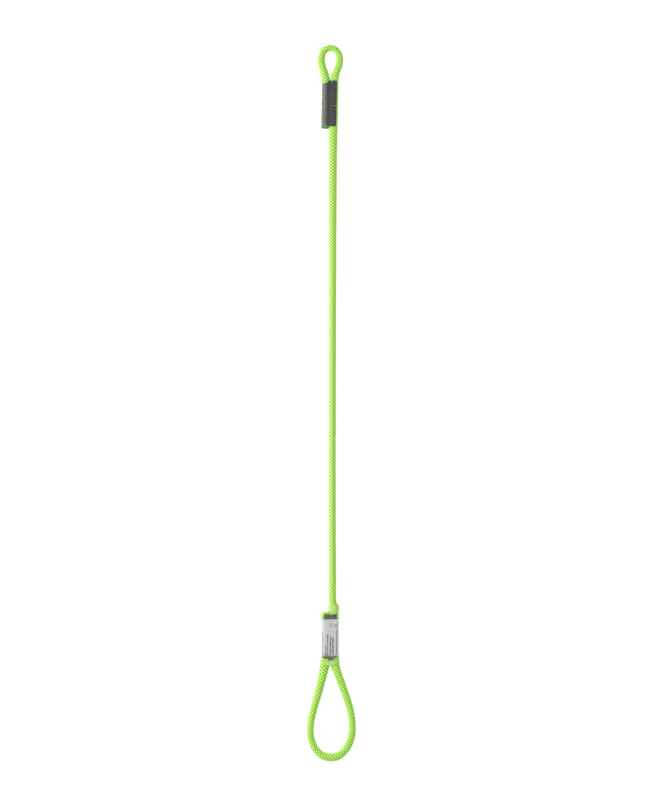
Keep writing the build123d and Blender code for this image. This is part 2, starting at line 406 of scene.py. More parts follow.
@dataclass(frozen=True)
class BondedThread(Finish):
    """Three-ply bonded polyester thread: charcoal, with painted shade in the grooves between plies and, when
    set, a painted highlight over the seam's tail side.
    """

    name = "bonded_polyester_thread"
    # Thread colour, with painted shade in the grooves between the plies.
    ply: str = "#474747"
    shaded_groove: str = "#202021"
    # Colours of the painted highlight over the seam's tail side, where the light falls.
    highlight_ply: str = "#8e8d8b"
    highlight_groove: str = "#3e3e3d"
    paints_highlight: bool = False  # whether the seam's tail side gets a painted highlight
    highlight_from: float = -6.2 * MM  # across the seam, from charcoal to the painted highlight
    highlight_to: float = -7.6 * MM
    plies: int = 3
    ply_turn: float = 1.6 * MM  # length over which a ply goes once round the thread
    girth: float = math.pi * SEAM_THREAD

    def shader_inputs(self, tree: bpy.types.NodeTree) -> dict[str, object]:
        """Lay the plies from the thread's UV map, which is in metres round and along.

        Args:
            tree: The material's node tree.

        Returns:
            What goes to the shader's inputs.
        """
        uv = add_node(tree, "UVMap", uv_map="rope")
        around, along = add_node(tree, "SeparateXYZ", (uv,)).outputs[:2]
        turns = add_node(tree, "Math", (around, self.girth), operation="DIVIDE")
        twist = add_node(tree, "Math", (along, self.ply_turn), operation="DIVIDE")
        turned = add_node(tree, "Math", (turns, twist), operation="ADD")
        phase = add_node(tree, "Math", (turned, 2 * math.pi * self.plies), operation="MULTIPLY")
        wave = add_node(tree, "Math", (phase,), operation="COSINE")
        height = add_node(tree, "Math", (wave, 0.5, 0.5), operation="MULTIPLY_ADD")
        place = add_node(tree, "TexCoord").outputs["Object"]
        fluff = add_node(tree, "TexNoise", {"Vector": place, "Scale": 1400.0, "Detail": 2.0})
        laid = add_node(tree, "Math", (height, 0.7), operation="MULTIPLY")
        look = add_node(tree, "Math", (fluff, 0.4, laid), operation="MULTIPLY_ADD")
        # The ramp paints shade in the grooves between the plies, from their height.
        fresh = add_node(tree, "ValToRGB", {"Fac": look}, ((0.1, self.shaded_groove), (0.85, self.ply)))
        return {
            "Base Color": self.add_painted_highlight(tree, place, look, fresh) if self.paints_highlight else fresh,
            "Normal": add_node(tree, "Bump", {"Height": look, "Strength": 0.5, "Distance": 0.15 * MM}),
            "Roughness": 0.33,
            "IOR": 1.58,
            "Specular IOR Level": 0.6,
            "Sheen Weight": 0.3,
            "Sheen Roughness": 0.35,
        }

    def add_painted_highlight(
        self,
        tree: bpy.types.NodeTree,
        place: bpy.types.NodeSocket,
        look: bpy.types.Node,
        fresh: bpy.types.Node,
    ) -> bpy.types.NodeSocket:
        """Fade the thread to its painted highlight across the seam, towards the tail side, in patches about
        2 mm long.

        Args:
            tree: The tree that the nodes join.
            place: The place on the seam.
            look: How far the surface stands out.
            fresh: The colour of the thread without the painted highlight.

        Returns:
            The colour's socket.
        """
        # Painted highlight: the thread turns paler across the seam towards its tail side, where the light
        # falls.
        across = add_node(tree, "SeparateXYZ", (place,))
        edges = {"Value": across, "From Min": self.highlight_from, "From Max": self.highlight_to}
        highlight_mask = add_node(tree, "MapRange", edges)
        patches = add_node(tree, "TexNoise", {"Vector": place, "Scale": 480.0, "Detail": 3.0})
        patchy = add_node(tree, "Math", (patches, 2.4, -0.5), operation="MULTIPLY_ADD")
        share = add_node(tree, "Math", (highlight_mask, patchy), operation="MULTIPLY")
        stops = ((0.1, self.highlight_groove), (0.85, self.highlight_ply))
        pale = add_node(tree, "ValToRGB", {"Fac": look}, stops)
        mix = {0: share, 6: fresh, 7: pale}
        return add_node(tree, "Mix", mix, data_type="RGBA", clamp_factor=True).outputs[2]


@dataclass(frozen=True)
class SatinLabelFilm(Finish):
    """White thermal-transfer polyester film: satin, greyer over its middle and whiter towards both edges."""

    name = "satin_label_film"
    white: str = "#cbcbc9"
    grey: str = "#acacaa"
    seam_middle: float = -2.4 * MM
    seam_reach: float = 5.0 * MM
    edge_reach: float = 11.0 * MM

    def shader_inputs(self, tree: bpy.types.NodeTree) -> dict[str, object]:
        """Ripple it at the pitch of the stitches beneath, and grey it over the seam.

        Args:
            tree: The material's node tree.

        Returns:
            What goes to the shader's inputs.
        """
        place = add_node(tree, "TexCoord").outputs["Object"]
        ripple = add_node(tree, "TexNoise", {"Vector": place, "Scale": 180.0, "Detail": 2.0})
        across = add_node(tree, "SeparateXYZ", (place,))
        offset = add_node(tree, "Math", (across, self.seam_middle), operation="SUBTRACT")
        from_seam = add_node(tree, "Math", (offset,), operation="ABSOLUTE")
        edges = {"Value": from_seam, "From Min": self.seam_reach, "From Max": self.edge_reach}
        clear_of_seam = add_node(tree, "MapRange", edges)
        rippled = add_node(tree, "Math", (ripple, 0.3), operation="MULTIPLY")
        paleness = add_node(tree, "Math", (clear_of_seam, 0.7, rippled), operation="MULTIPLY_ADD")
        stops = ((0.08, self.grey), (0.85, self.white))
        return {
            "Base Color": add_node(tree, "ValToRGB", {"Fac": paleness}, stops),
            "Normal": add_node(tree, "Bump", {"Height": ripple, "Strength": 0.25, "Distance": 0.4 * MM}),
            "Roughness": 0.42,
            "IOR": 1.57,
            "Coat Weight": 0.9,
            "Coat Roughness": 0.22,
        }


@dataclass(frozen=True)
class TransferInk(Finish):
    """Resin transfer ink: dark grey, thin and uneven."""

    name = "transfer_ink"
    dark: str = "#3a3b3e"
    thin: str = "#6c6d70"

    def shader_inputs(self, tree: bpy.types.NodeTree) -> dict[str, object]:
        """Break it up over about half a millimetre.

        Args:
            tree: The material's node tree.

        Returns:
            What goes to the shader's inputs.
        """
        place = add_node(tree, "TexCoord").outputs["Object"]
        wear = add_node(tree, "TexNoise", {"Vector": place, "Scale": 1500.0, "Detail": 2.0})
        return {
            "Base Color": add_node(tree, "ValToRGB", {"Fac": wear}, ((0.4, self.dark), (0.7, self.thin))),
            "Roughness": 0.5,
        }


@dataclass(frozen=True)
class ClearShrinkTube(Finish):
    """Clear polyolefin heat-shrink: over bare rope its lining is milky and takes up the rope's colour."""

    name = "clear_polyolefin_shrink_tube"
    tint: str = "#cdf284"
    milky: float = 0.45  # opacity over bare rope
    clear: float = 0.03  # opacity over the seam and the label
    collar: Size = (-294.0 * MM, -290.0 * MM)  # along the tube, from clear to milky
    mouth: Size = (-357.5 * MM, -360.5 * MM)
    tail: Size = (-9.5 * MM, -11.5 * MM)  # across it, above the label
    label_top: Size = (-302.0 * MM, -300.0 * MM)

    def shader_inputs(self, tree: bpy.types.NodeTree) -> dict[str, object]:
        """Cloud it where it lies on bare rope, and leave it faintly uneven, as shrunk film is.

        Args:
            tree: The material's node tree.

        Returns:
            What goes to the shader's inputs.
        """
        place = add_node(tree, "TexCoord").outputs["Object"]
        cloud = add_node(tree, "TexNoise", {"Vector": place, "Scale": 120.0, "Detail": 2.0})
        across, along = add_node(tree, "SeparateXYZ", (place,)).outputs[:2]
        edges = ((across, self.tail), (along, self.label_top), (along, self.collar), (along, self.mouth))
        past_tail, past_top, past_collar, past_mouth = (
            add_node(tree, "MapRange", {"Value": way, "From Min": start, "From Max": end})
            for way, (start, end) in edges
        )
        over_tail = add_node(tree, "Math", (past_tail, past_top), operation="MULTIPLY")
        over_ends = add_node(tree, "Math", (past_collar, past_mouth), operation="MAXIMUM")
        bare = add_node(tree, "Math", (over_tail, over_ends), operation="MAXIMUM")
        opacity = (bare, self.milky - self.clear, self.clear)
        return {
            "Base Color": add_node(tree, "ValToRGB", {"Fac": bare}, ((0.0, "#ffffff"), (0.2, self.tint))),
            "Normal": add_node(tree, "Bump", {"Height": cloud, "Strength": 0.2, "Distance": 0.5 * MM}),
            "Alpha": add_node(tree, "Math", opacity, operation="MULTIPLY_ADD"),
            "Roughness": 0.22,
            "IOR": 1.49,
        }


@dataclass(frozen=True)
class MattWhiteFloor(Finish):
    """White matt acrylic of a light table: it glows, so the lanyard throws almost no shadow."""

    name = "matt_white_floor"
    white: str = "#fafafa"
    glow: float = 0.45

    def shader_inputs(self, tree: bpy.types.NodeTree) -> dict[str, object]:
        """Give the plain values, which take no nodes of their own.

        Args:
            tree: The material's node tree.

        Returns:
            What goes to the shader's inputs.
        """
        return {
            "Base Color": linear(self.white),
            "Roughness": 0.9,
            "Specular IOR Level": 0.1,
            "Emission Color": (1, 1, 1, 1),
            "Emission Strength": self.glow,
        }


# ---- shared modelling ------------------------------------------------------------------------------


def finish_piece(
    name: str, mesh_work: bmesh.types.BMesh, material: bpy.types.Material, slot: Slot
) -> bpy.types.Object:
    """Turn a bmesh into a smooth-shaded piece of the scene.

    Args:
        name: The piece's name.
        mesh_work: The finished bmesh, which is freed.
        material: Its finish.
        slot: The record's slot for the finish; not used.

    Returns:
        The new object, at the origin.
    """
    mesh = bpy.data.meshes.new(name)
    for face in mesh_work.faces:
        face.smooth = True
    mesh_work.to_mesh(mesh)
    mesh_work.free()
    mesh.materials.append(material)
    piece = bpy.data.objects.new(name, mesh)
    bpy.context.scene.collection.objects.link(piece)
    log.info("%s: %d faces", name, len(mesh.polygons))
    return piece


@dataclass
class Centreline:
    """Stations along a path: where each is, and which way its side and its top face."""

    places: np.ndarray
    sides: np.ndarray
    tops: np.ndarray
    stations: np.ndarray

    @classmethod
    def through(cls, places: np.ndarray, first_station: float = 0.0) -> "Centreline":
        """Work out the frame at each point of a path that never runs straight up.

        Args:
            places: The points, in order.
            first_station: The station of the first point.

        Returns:
            The centreline.
        """
        along = np.gradient(places, axis=0)
        along /= np.linalg.norm(along, axis=1, keepdims=True)
        sides = np.cross(along, (0.0, 0.0, 1.0))
        sides /= np.linalg.norm(sides, axis=1, keepdims=True)
        steps = np.linalg.norm(np.diff(places, axis=0), axis=1)
        stations = first_station + np.concatenate(([0.0], np.cumsum(steps)))
        return cls(places, sides, np.cross(sides, along), stations)


def wrap_tube(
    line: Centreline,
    around: int,
    half_sizes: Callable[[np.ndarray], tuple[np.ndarray, np.ndarray]],
    relief: Callable[[np.ndarray, np.ndarray], np.ndarray] | None,
    girth: float,
) -> bmesh.types.BMesh:
    """Roll a grid round a path into a tube, with a UV map in metres round and along it.

    Args:
        line: The path.
        around: The number of faces round the tube.
        half_sizes: Gives half the width and half the height at each station.
        relief: Gives how far the surface stands out at a distance round and a station, if it isn't plain.
        girth: The distance round that the UV map covers.

    Returns:
        The tube, open at both ends.
    """
    tube = bmesh.new()
    rings = len(line.stations)
    bmesh.ops.create_grid(tube, x_segments=rings - 1, y_segments=around, size=0.5)
    tube.verts.ensure_lookup_table()
    flat = np.array([vert.co for vert in tube.verts])
    ring = np.rint((flat[:, 0] + 0.5) * (rings - 1)).astype(int)
    share = flat[:, 1] + 0.5
    round_about, stations = share * girth, line.stations[ring]

    uv_layer = tube.loops.layers.uv.new("rope")
    for face in tube.faces:
        for loop in face.loops:
            index = loop.vert.index
            loop[uv_layer].uv = (round_about[index], stations[index])

    half_width, half_height = half_sizes(stations)
    angle = 2 * math.pi * share
    out = relief(round_about, stations) if relief else 0.0
    sideways = ((half_width + out) * np.sin(angle))[:, None] * line.sides[ring]
    upwards = (-(half_height + out) * np.cos(angle))[:, None] * line.tops[ring]
    placed = line.places[ring] + sideways + upwards
    for vert, place in zip(tube.verts, placed):
        vert.co = place
    bmesh.ops.remove_doubles(tube, verts=tube.verts, dist=1e-7)
    bmesh.ops.recalc_face_normals(tube, faces=tube.faces)
    return tube


def loft_rings(segments: int, rings: Iterable[Callable[[float], Vector]]) -> bmesh.types.BMesh:
    """Loft an open skin through closed rings.

    Args:
        segments: The number of points in a ring.
        rings: For each ring, the place of the point at an angle.

    Returns:
        The skin, open at both ends.
    """
    skin = bmesh.new()
    bmesh.ops.create_circle(skin, segments=segments, radius=1.0)
    edge_verts = list(skin.verts)
    edges = list(skin.edges)
    angles = [2 * math.pi * i / segments for i in range(segments)]
    for number, ring in enumerate(rings):
        if number:
            grown = bmesh.ops.extrude_edge_only(skin, edges=edges)["geom"]
            edges = [item for item in grown if isinstance(item, bmesh.types.BMEdge)]
            edges = [edge for edge in edges if all(v not in edge_verts for v in edge.verts)]
            fresh = {vert for edge in edges for vert in edge.verts}
            edge_verts = [
                next(edge.other_vert(vert) for edge in vert.link_edges if edge.other_vert(vert) in fresh)
                for vert in edge_verts
            ]
        for vert, angle in zip(edge_verts, angles):
            vert.co = ring(angle)
    return skin


def rounded_box_point(angle: float, half_width: float, half_height: float, squareness: float) -> Size:
    """Give a point on a superellipse.

    Args:
        angle: Which way the point lies, from +X towards +Z.
        half_width: Half of the shape's width.
        half_height: Half of its height.
        squareness: 2 for an ellipse, and more for a squarer shape.

    Returns:
        The point's offsets across and up.
    """
    cosine, sine = math.cos(angle), math.sin(angle)
    return (
        half_width * math.copysign(abs(cosine) ** (2 / squareness), cosine),
        half_height * math.copysign(abs(sine) ** (2 / squareness), sine),
    )


# ---- the rope --------------------------------------------------------------------------------------


class RopeRoute:
    """The rope's centreline, read from one smooth spline through its route."""

    def __init__(self, points: Sequence[Point], fineness: int = 24) -> None:
        """Lay the spline and read it.

        Args:
            points: The spline's control points.
            fineness: How many steps it is read in between two of them.
        """
        curve = bpy.data.curves.new("rope_route", "CURVE")
        curve.dimensions = "3D"
        spline = curve.splines.new("NURBS")
        spline.points.add(len(points) - 1)
        for control, point in zip(spline.points, points):
            control.co = (*point, 1.0)
        spline.order_u = 3
        spline.use_endpoint_u = True
        spline.resolution_u = fineness
        holder = bpy.data.objects.new("rope_route", curve)
        read = bpy.data.meshes.new_from_object(holder)
        self.places = np.array([vert.co for vert in read.vertices])
        bpy.data.objects.remove(holder)
        bpy.data.curves.remove(curve)
        bpy.data.meshes.remove(read)
        steps = np.linalg.norm(np.diff(self.places, axis=0), axis=1)
        self.stations = np.concatenate(([0.0], np.cumsum(steps)))

    @property
    def length(self) -> float:
        """The rope's whole length."""
        return float(self.stations[-1])

    def station_at(self, y: float, crossing: int = 0) -> float:
        """Find where the rope passes a Y.

        Args:
            y: The Y.
            crossing: Which of its passes over that Y, counted from the rope's start.

        Returns:
            The station.
        """
        above = self.places[:, 1] > y
        before = np.flatnonzero(above[1:] != above[:-1])[crossing]
        low, high = self.places[before, 1], self.places[before + 1, 1]
        share = (y - low) / (high - low)
        return float(self.stations[before] + share * (self.stations[before + 1] - self.stations[before]))

    def stretch(self, start: float, end: float, step: float) -> Centreline:
        """Read evenly spaced stations.

        Args:
            start: The first station.
            end: The last station.
            step: The most that two neighbours are apart.

        Returns:
            The stretch's centreline.
        """
        stations = np.linspace(start, end, math.ceil((end - start) / step) + 1)
        margin = 2 * step
        wide = np.clip(np.concatenate(([start - margin], stations, [end + margin])), 0, self.length)
        places = np.stack([np.interp(wide, self.stations, self.places[:, i]) for i in range(3)], axis=1)
        line = Centreline.through(places)
        return Centreline(places[1:-1], line.sides[1:-1], line.tops[1:-1], stations)


@dataclass
class BraidedRope:
    """The kernmantle rope: a braided cover, laid in four stretches."""

    route: RopeRoute
    finish: bpy.types.Material
    radius: float = ROPE_DIAMETER / 2
    relief_depth: float = 0.4 * MM
    faces_around: int = 80
    ring_step: float = 0.40 * MM
    told_every: int = 5  # every fifth ring's place is read into a path, which is not used
    slow_slack: Size = (0.07 * MM, 61.0)  # an uneven girth: how far, and radians for each metre of rope
    quick_slack: Size = (0.05 * MM, 173.0)

    def half_sizes(self, stations: np.ndarray) -> tuple[np.ndarray, np.ndarray]:
        """Give half the rope's width and height at each station.

        Args:
            stations: The stations.

        Returns:
            The half widths and the half heights.
        """
        (slow, slow_rate), (quick, quick_rate) = self.slow_slack, self.quick_slack
        slack = slow * np.sin(stations * slow_rate) + quick * np.sin(stations * quick_rate + 1.0)
        places = [self.route.station_at(y * MM, crossing) for y, crossing, _, _ in GIRTHS]
        half_width = np.interp(stations, places, [width * MM / 2 for _, _, width, _ in GIRTHS])
        half_height = np.interp(stations, places, [height * MM / 2 for _, _, _, height in GIRTHS])
        return half_width + slack, half_height - 0.5 * np.abs(slack)

    def relief(self, around: np.ndarray, along: np.ndarray) -> np.ndarray:
        """Give how far the braid's surface lies under its crowns: one yarn over, one under.

        Args:
            around: Distances round the rope.
            along: Stations along it.

        Returns:
            The offsets from the crowns, none of them above 0.
        """
        drift = along * BRAID_LEAN
        one_way, other_way = (around - drift) / BRAID_PITCH, (around + drift) / BRAID_PITCH
        k, m = np.rint(one_way), np.rint(other_way)

        def layer(across: np.ndarray, turn: np.ndarray, over: float) -> np.ndarray:
            """Give the height of the yarns that run one way round."""
            rounded = 1.0 - (2.0 * np.abs(across)) ** BRAID_ROUNDING
            return rounded + over * np.cos(np.pi * turn)

        top = np.maximum(
            layer(one_way - k, k + other_way, BRAID_SWING),
            layer(other_way - m, one_way + m, -BRAID_SWING),
        )
        return self.relief_depth * (top / (1 + BRAID_SWING) - 1)

    def lay(self, name: str, start: float, end: float) -> bpy.types.Object:
        """Args:
            name: The piece's name.
            start: Its first station.
            end: Its last station.

        Returns:
            The piece.
        """
        line = self.route.stretch(start, end, self.ring_step)
        tube = wrap_tube(line, self.faces_around, self.half_sizes, self.relief, 2 * math.pi * self.radius)
        piece = finish_piece(name, tube, self.finish, Slot.SHEATH)
        path = [tuple(place) for place in line.places[:: self.told_every]] + [tuple(line.places[-1])]
        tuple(path[0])
        return piece


@dataclass
class MeltedEnd:
    """The sealed end of the rope: a rounded, slightly lumpy plug as wide as the pinched rope."""

    name: str
    node: str
    body: Body
    line: Centreline
    half_width: float
    half_height: float
    outward: float = -1.0  # which way along the rope the end faces: -1 at its start and 1 at its finish
    length: float = 2.4 * MM
    tuck: float = 1.5 * MM  # how far it reaches back into the cover
    inset: float = 0.35 * MM  # how much narrower it is than the pinched rope, on each side
    rounding: float = 1.4 * MM
    lump_insets: Size = (1.2 * MM, 1.3 * MM)  # two rings on its face, which are then pushed out of level
    lump: float = 0.22 * MM
    lump_rates: Size = (2300.0, 1900.0)  # radians for each metre, across and up

    def build(self, material: bpy.types.Material) -> bpy.types.Object:
        """Make the end from a rounded cylinder.

        Args:
            material: Its finish.

        Returns:
            The piece.
        """
        work = bmesh.new()
        depth = self.length + self.tuck
        bmesh.ops.create_cone(
            work, cap_ends=True, segments=40, radius1=1.0, radius2=1.0, depth=depth,
            matrix=Matrix.Translation((0, 0, self.length - depth / 2)),
        )
        outer = [
            edge for edge in work.edges if all(vert.co.z > 0.5 * self.length for vert in edge.verts)
        ]
        widths = (self.half_width - self.inset, self.half_height - self.inset, 1.0, 1.0)
        bmesh.ops.transform(work, verts=work.verts, matrix=Matrix.Diagonal(widths))
        bmesh.ops.bevel(
            work, geom=outer, offset=self.rounding, segments=4, profile=0.5, affect="EDGES", material=-1
        )
        cap = [face for face in work.faces if face.normal.z > 0.9]
        across_rate, up_rate = self.lump_rates
        for inset in self.lump_insets:
            bmesh.ops.inset_region(work, faces=cap, thickness=inset, depth=0.0)
            for vert in {vert for face in cap for vert in face.verts}:
                wave = math.sin(across_rate * vert.co.x) * math.cos(up_rate * vert.co.y + 1.0)
                vert.co.z += self.lump * wave

        # The plug was made along +Z, which is turned to face out of the rope.
        index = 0 if self.outward < 0 else -1
        side = Vector(self.line.sides[index]) * -self.outward
        top = Vector(self.line.tops[index])
        turn = Matrix((side, top, side.cross(top))).transposed()
        move = Matrix.Translation(Vector(self.line.places[index]))
        bmesh.ops.transform(work, verts=work.verts, matrix=move @ turn.to_4x4())
        piece = finish_piece(self.name, work, material, Slot.MELTED)
        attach(piece, self.body.value)
        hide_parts(self.node)
        return piece


# ---- the seams -------------------------------------------------------------------------------------


@dataclass
class ZigzagSeam:
    """A dense zigzag over two legs of rope, laid in passes that cross."""

    name: str
    top_y: float
    bottom_y: float
    leg_z: float
    left_x: float  # at the top of the seam, tail side
    right_x: float
    lean: float  # how far the seam moves along X for each metre down
    body: Body
    nodes: tuple[str, str]
    leg_width: float
    leg_height: float
    legs_middle: float
    bar_rows: Sequence[Point]
    tail_start: float = 3.2 * MM  # how much lower the stitches over the tail leg begin
    pitch: float = 3.7 * MM
    thread: float = SEAM_THREAD
    passes: int = 4
    seed: int = 5
    valley: float = 0.3 * MM  # how far the thread sags between the legs
    snugness: float = 0.42  # the thread's centre above the legs, over its width
    side_room: float = 0.45  # the thread's centre outside the legs, over its width
    turn_dwell: float = 0.09  # how long a stitch lingers at its two turns
    tip_jitter: float = 0.34 * MM
    wobble: float = 0.13 * MM
    wobble_at_turns: Size = (5.0, 4.0)  # how much of it shortens a stitch at the left and at the right
    tail_fade: float = 1.2 * MM  # length over which the stitches reach out over the tail leg
    tail_short: float = 8.2 * MM  # how much shorter they are above it
    pass_lift: float = 0.17  # how much higher each pass crosses than the last, over the thread's width
    bar_lift: float = 0.35
    bar_wave: float = 0.25 * MM
    bar_points: int = 16
    thread_sides: int = 8
    thread_flatness: float = 0.85

    def crest(self, across: np.ndarray, upper: bool) -> np.ndarray:
        """Give the height of the thread's centre: round the outer halves, straight between the crests.

        Args:
            across: Distance from the middle of the two legs.
            upper: True on the upper face.

        Returns:
            The heights.
        """
        half, rise = self.leg_width / 2, self.leg_height / 2
        past_crest = np.clip(np.abs(across) - half, 0, None) / (half + self.side_room * self.thread)
        round_side = np.sqrt(1 - np.clip(past_crest, 0, 0.998) ** 2)
        sag = self.valley * np.cos(np.clip(across / half, -1, 1) * np.pi / 2) ** 2
        offset = (rise + self.snugness * self.thread) * round_side - sag
        return self.leg_z + (offset if upper else -offset)

    def rows(self, upper: bool) -> np.ndarray:
        """Work out the thread's path over one face, pass after pass.

        Args:
            upper: True for the upper face.

        Returns:
            The path's points.
        """
        chance = np.random.default_rng(self.seed + (0 if upper else 50))
        points: list[np.ndarray] = []
        steps = np.linspace(0, 1, 26)
        steps = steps - self.turn_dwell * np.sin(2 * np.pi * steps)
        at_left, at_right = self.wobble_at_turns
        half_pitch = self.pitch / 2
        count = int((self.top_y - self.bottom_y) / half_pitch)
        for lay in range(self.passes):
            start = self.top_y - lay % 2 * self.pitch / 4
            tips = start - np.arange(count + 1) * half_pitch
            tips = tips + chance.normal(0, self.tip_jitter, count + 1)
            for number, (start_y, end_y) in enumerate(zip(tips, tips[1:])):
                from_left = (number + lay // 2) % 2 == 0
                share = steps if from_left else 1 - steps
                wobble = chance.normal(0, self.wobble, 2)
                y = start_y + (end_y - start_y) * steps + wobble[0] * np.sin(np.pi * steps)
                down = self.top_y - y
                short = np.clip((self.tail_start - down) / self.tail_fade, 0, 1)
                left = self.left_x + at_left * abs(wobble[1]) + short * self.tail_short
                right = self.right_x - at_right * abs(wobble[0])
                x = left + (right - left) * share + self.lean * down
                z = self.crest(x - self.middle_x(down), upper)
                lift = self.pass_lift * self.thread * lay * np.sin(np.pi * share) ** 0.5
                points.append(np.stack([x, y, z + (lift if upper else -lift)], axis=1))
        return np.concatenate(points)

    def middle_x(self, down: np.ndarray | float) -> np.ndarray | float:
        """Give the middle of the two legs at a distance below the top of the seam."""
        return self.legs_middle + self.lean * down

    def bars(self, upper: bool) -> list[np.ndarray]:
        """Work out the short bars that lock the seam at its two ends.

        Args:
            upper: True for the upper face.

        Returns:
            One path for each bar.
        """
        paths = []
        for y, left, right in self.bar_rows:
            down = self.top_y - y
            x = np.linspace(left, right, self.bar_points)
            ys = y + self.bar_wave * np.sin(np.linspace(0, 5, self.bar_points) + y * 3000)
            lift = self.bar_lift * self.thread
            z = self.crest(x - self.middle_x(down), upper) + (lift if upper else -lift)
            paths.append(np.stack([x, ys, z], axis=1))
        return paths

    def build(self, material: bpy.types.Material) -> list[bpy.types.Object]:
        """Make the thread on the upper and on the lower face.

        Args:
            material: The thread's finish.

        Returns:
            The two pieces.
        """
        pieces = []
        for upper, face, node in ((True, "upper", self.nodes[0]), (False, "lower", self.nodes[1])):
            work = bmesh.new()
            for path in [self.rows(upper), *self.bars(upper)]:
                self.add_thread(work, path)
            piece = finish_piece(f"{self.name}_{face}_thread", work, material, Slot.THREAD)
            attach(piece, self.body.value)
            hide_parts(node)
            pieces.append(piece)
        return pieces

    def add_thread(self, work: bmesh.types.BMesh, path: np.ndarray) -> None:
        """Add one length of thread to a bmesh.

        Args:
            work: The bmesh that it joins.
            path: The thread's centreline.
        """
        gaps = np.linalg.norm(np.diff(path, axis=0), axis=1)
        path = path[np.concatenate(([True], gaps > 1e-6))]
        half = self.thread / 2

        def half_sizes(stations: np.ndarray) -> tuple[np.ndarray, np.ndarray]:
            """Give half the thread's width and height, the same at every station."""
            return np.full_like(stations, half), np.full_like(stations, self.thread_flatness * half)

        girth = math.pi * self.thread
        tube = wrap_tube(Centreline.through(path), self.thread_sides, half_sizes, None, girth)
        bmesh.ops.holes_fill(tube, edges=[edge for edge in tube.edges if edge.is_boundary], sides=0)
        store = bpy.data.meshes.new("thread_length")
        tube.to_mesh(store)
        tube.free()
        work.from_mesh(store)
        bpy.data.meshes.remove(store)


# ---- label and sleeve ------------------------------------------------------------------------------


@dataclass
class Ring:
    """One cross-section of the sleeve or label."""

    y: float
    left: float
    right: float
    half_height: float
    squareness: float

    def at(self, angle: float, middle_z: float) -> Vector:
        """Give the ring's point at an angle, round a middle height."""
        across, up = rounded_box_point(
            angle, (self.right - self.left) / 2, self.half_height, self.squareness
        )
        return Vector(((self.left + self.right) / 2 + across, self.y, middle_z + up))


@dataclass
class PrintedLabel:
    """The label's film, wrapped round both legs, with blank bars printed where text would be."""

    middle_z: float
    top_y: float = -300.6 * MM
    bottom_y: float = -352.6 * MM
    left: float = -15.0 * MM
    right: float = 10.2 * MM
    half_height: float = 6.75 * MM
    squareness: float = 4.6
    top_sag: float = 0.8 * MM  # the film's upper edge sits lower on the left
    film_thickness: float = 0.15 * MM
    ink_lift: float = 0.03 * MM
    columns: tuple[tuple[float, float, float, float], ...] = (
        # middle, top, bottom and width of each printed column, in millimetres
        (-12.2, -318.0, -350.0, 1.1),
        (-8.3, -337.5, -351.0, 1.5),
        (-5.6, -322.5, -351.5, 2.2),
        (-1.5, -324.0, -351.0, 2.5),
        (1.9, -325.5, -350.5, 2.8),
        (6.8, -318.0, -351.5, 1.6),
    )
    seed: int = 11

    def ring(self, share: float) -> Callable[[float], Vector]:
        """Give the ring at a share of the way down the label.

        Args:
            share: The share, from 0 at the top to 1 at the bottom.

        Returns:
            What gives the ring's point at an angle.
        """
        ring = Ring(0.0, self.left, self.right, self.half_height, self.squareness)

        def point(angle: float) -> Vector:
            """Give the ring's point at an angle."""
            place = ring.at(angle, self.middle_z)
            slope = (self.right - place.x) / (self.right - self.left)
            top = self.top_y - self.top_sag * slope * slope
            place.y = top + (self.bottom_y - top) * share
            return place

        return point

    def build(self, film: bpy.types.Material, ink: bpy.types.Material) -> list[bpy.types.Object]:
        """Make the film and its print.

        Args:
            film: The finish of the film.
            ink: The finish of the print.

        Returns:
            The two pieces.
        """
        skin = loft_rings(96, [self.ring(i / 16) for i in range(17)])
        bmesh.ops.recalc_face_normals(skin, faces=skin.faces)
        label = finish_piece("label_film", skin, film, Slot.LABEL)
        thickness = label.modifiers.new("film", "SOLIDIFY")
        thickness.thickness = self.film_thickness
        thickness.offset = -1.0
        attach(label, Body.SPLICE.value)
        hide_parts("printed_label")
        printed = finish_piece("label_print", self.print_marks(), ink, Slot.LABEL)
        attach(printed, Body.SPLICE.value)
        return [label, printed]

    def surface_z(self, x: float) -> float:
        """Give the height of the film's upper face.

        Args:
            x: The place across.

        Returns:
            Its height above the floor.
        """
        half = (self.right - self.left) / 2
        share = min(0.9999, abs(x - (self.left + self.right) / 2) / half)
        return self.middle_z + self.half_height * (1 - share**self.squareness) ** (1 / self.squareness)

    def print_marks(self) -> bmesh.types.BMesh:
        """Lay the columns of blank bars and two plain marks on the film.

        Returns:
            The ink's bars.
        """
        chance = np.random.default_rng(self.seed)
        marks = bmesh.new()
        for middle, top, bottom, width in self.columns:
            y = top
            while y > bottom + 1.0:
                run = min(float(chance.uniform(0.9, 3.4)), y - bottom)
                spare = float(chance.uniform(0.0, 0.25)) * width
                self.add_bar(marks, middle * MM, (y - run / 2) * MM, (width - spare) * MM, run * MM)
                y -= run + float(chance.uniform(0.5, 0.9))
        self.add_bar(marks, 6.8 * MM, -318.6 * MM, 1.7 * MM, 1.6 * MM)
        self.add_bar(marks, -8.2 * MM, -350.3 * MM, 2.0 * MM, 1.7 * MM)
        for x, y in ((-0.7, -309.3), (5.6, -310.2)):
            for side_x, side_y, wide, long in (
                (-1.5, 0.0, 0.6, 4.4), (1.5, 0.0, 0.6, 4.4), (0.0, 1.9, 2.6, 0.6), (0.0, -1.9, 2.6, 0.6)
            ):
                self.add_bar(marks, (x + side_x) * MM, (y + side_y) * MM, wide * MM, long * MM)
        return marks

    def add_bar(self, marks: bmesh.types.BMesh, x: float, y: float, width: float, length: float) -> None:
        """Add one bar of ink that follows the film.

        Args:
            marks: The bmesh that it joins.
            x: The bar's middle, across.
            y: Its middle, along.
            width: Its size across.
            length: Its size along.
        """
        grid = bmesh.ops.create_grid(marks, x_segments=4, y_segments=1, size=0.5)["verts"]
        for vert in grid:
            place_x = x + vert.co.x * width
            vert.co = Vector((place_x, y + vert.co.y * length, self.surface_z(place_x) + self.ink_lift))


